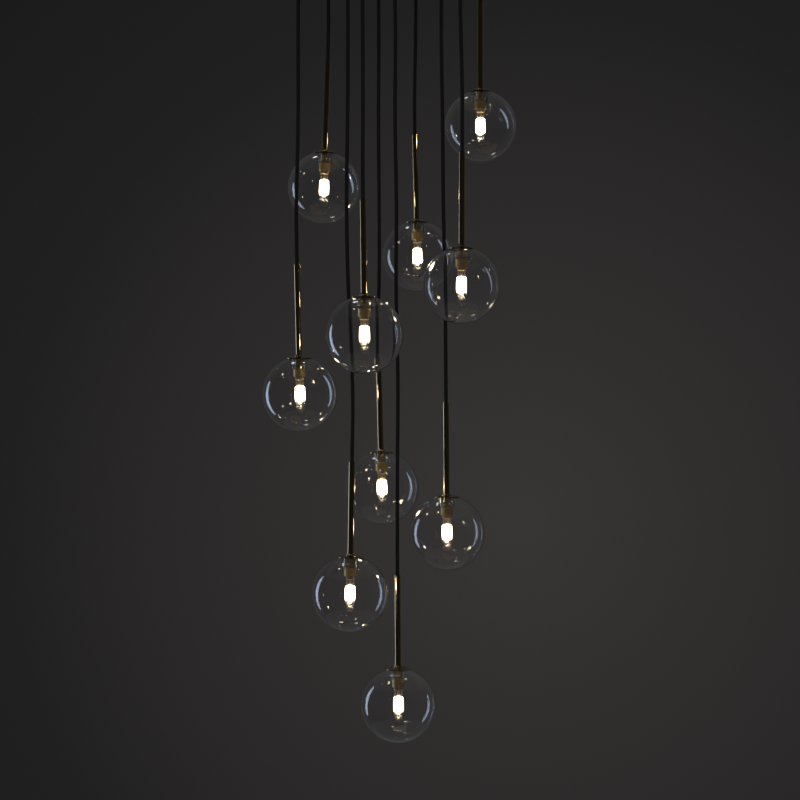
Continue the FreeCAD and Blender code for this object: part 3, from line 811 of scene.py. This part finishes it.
def studio_air():
    """The air behind the fixture, in the dark grey of the photograph's backdrop.

    That is for whatever sees it directly or in metal and glass; diffuse light gets a plain level.
    """
    air = bpy.data.worlds.new("air")
    air.use_nodes = True
    # sampled like a lamp, the air would give its plain level to mirrored rays too
    air.cycles.sampling_method = "NONE"
    sky = Shading(air.node_tree)
    # the way to a wide soft glow on the backdrop, a little right of the middle and below it
    glow_spot = (0.063, 0.996, -0.063)
    looks_at = sky.node("TexCoord", output="Generated")
    away = sky.node("VectorMath", {"operation": "DISTANCE"}, {0: looks_at, 1: glow_spot}, 1) * 0.5
    glow = [
        (0.0, (0.0400, 0.0368, 0.0345, 1)),
        (0.07, (0.0270, 0.0247, 0.0245, 1)),
        (0.10, (0.0220, 0.0204, 0.0206, 1)),
    ]
    straight = sky.node("ValToRGB", {"stops": glow + [
        (0.135, (0.0150, 0.0144, 0.0147, 1)),
        (0.19, (0.0110, 0.0110, 0.0110, 1)),
        (0.30, (0.0300, 0.0290, 0.0290, 1)),
        (1.0, (0.0300, 0.0290, 0.0290, 1)),
    ]}, {0: away})
    through_glass = sky.node("ValToRGB", {"stops": glow + [
        (0.14, (0.0260, 0.0252, 0.0255, 1)),
        (0.22, (0.0440, 0.0430, 0.0440, 1)),
        (0.60, (0.0380, 0.0370, 0.0375, 1)),
        (1.0, (0.0300, 0.0290, 0.0290, 1)),
    ]}, {0: away})
    mirrored = sky.node("ValToRGB", {"stops": glow + [
        (0.14, (0.0260, 0.0252, 0.0255, 1)),
        (0.22, (0.0440, 0.0430, 0.0440, 1)),
        (0.55, (0.0400, 0.0393, 0.0400, 1)),
        (0.75, (0.0120, 0.0120, 0.0125, 1)),
        (1.0, (0.0090, 0.0090, 0.0095, 1)),
    ]}, {0: away})
    tone = sky.mix(sky.ray("Is Glossy Ray"), straight, mirrored)
    tone = sky.mix(sky.ray("Is Transmission Ray"), tone, through_glass)
    dark = sky.node("Background", {}, {"Color": tone, "Strength": 1.0})
    plain = sky.node("Background", {}, {"Color": (0.74, 0.75, 0.78, 1), "Strength": 1.0})
    sky.node("OutputWorld", {}, {"Surface": sky.node("MixShader", {}, {0: sky.seen(), 1: plain, 2: dark})})
    return air


bpy.context.scene.world = studio_air()


def softbox(name, spot, aim, size, power, colour, shape):
    """A soft lamp. It shows mirrored in the glass and the brass, and not straight through a globe."""
    data = bpy.data.lights.new(name, "AREA")
    data.shape = shape
    data.size, data.size_y = size
    data.energy = power
    data.color = colour
    data.use_nodes = True
    face = Shading(data.node_tree)
    # a lamp counts one turn more than a surface does
    straight = face.ray("Transmission Depth").above(0.5) * (1 - face.turns().above(1.5))
    light = face.node("Emission", {}, {"Strength": 1.0})
    face.node("OutputLight", {}, {"Surface": face.node("MixShader", {}, {0: straight, 1: light})})
    lamp = bpy.data.objects.new(name, data)
    lamp.location = spot
    lamp.rotation_euler = (Vector(aim) - Vector(spot)).to_track_quat("-Z", "Y").to_euler()
    bpy.context.collection.objects.link(lamp)


softbox("box_left", spot=(-1.72, 0.74, -1.05), aim=(0, 0, -1.05), size=(0.44, 1.95), power=6.4,
        colour=(0.60, 0.72, 1.0), shape="ELLIPSE")
softbox("box_top", spot=(-0.8, 1.3, 1.9), aim=(0, 0, -0.5), size=(0.30, 0.30), power=1.2,
        colour=(1.0, 0.98, 0.95), shape="RECTANGLE")

bpy.context.scene.view_settings.view_transform = "Standard"
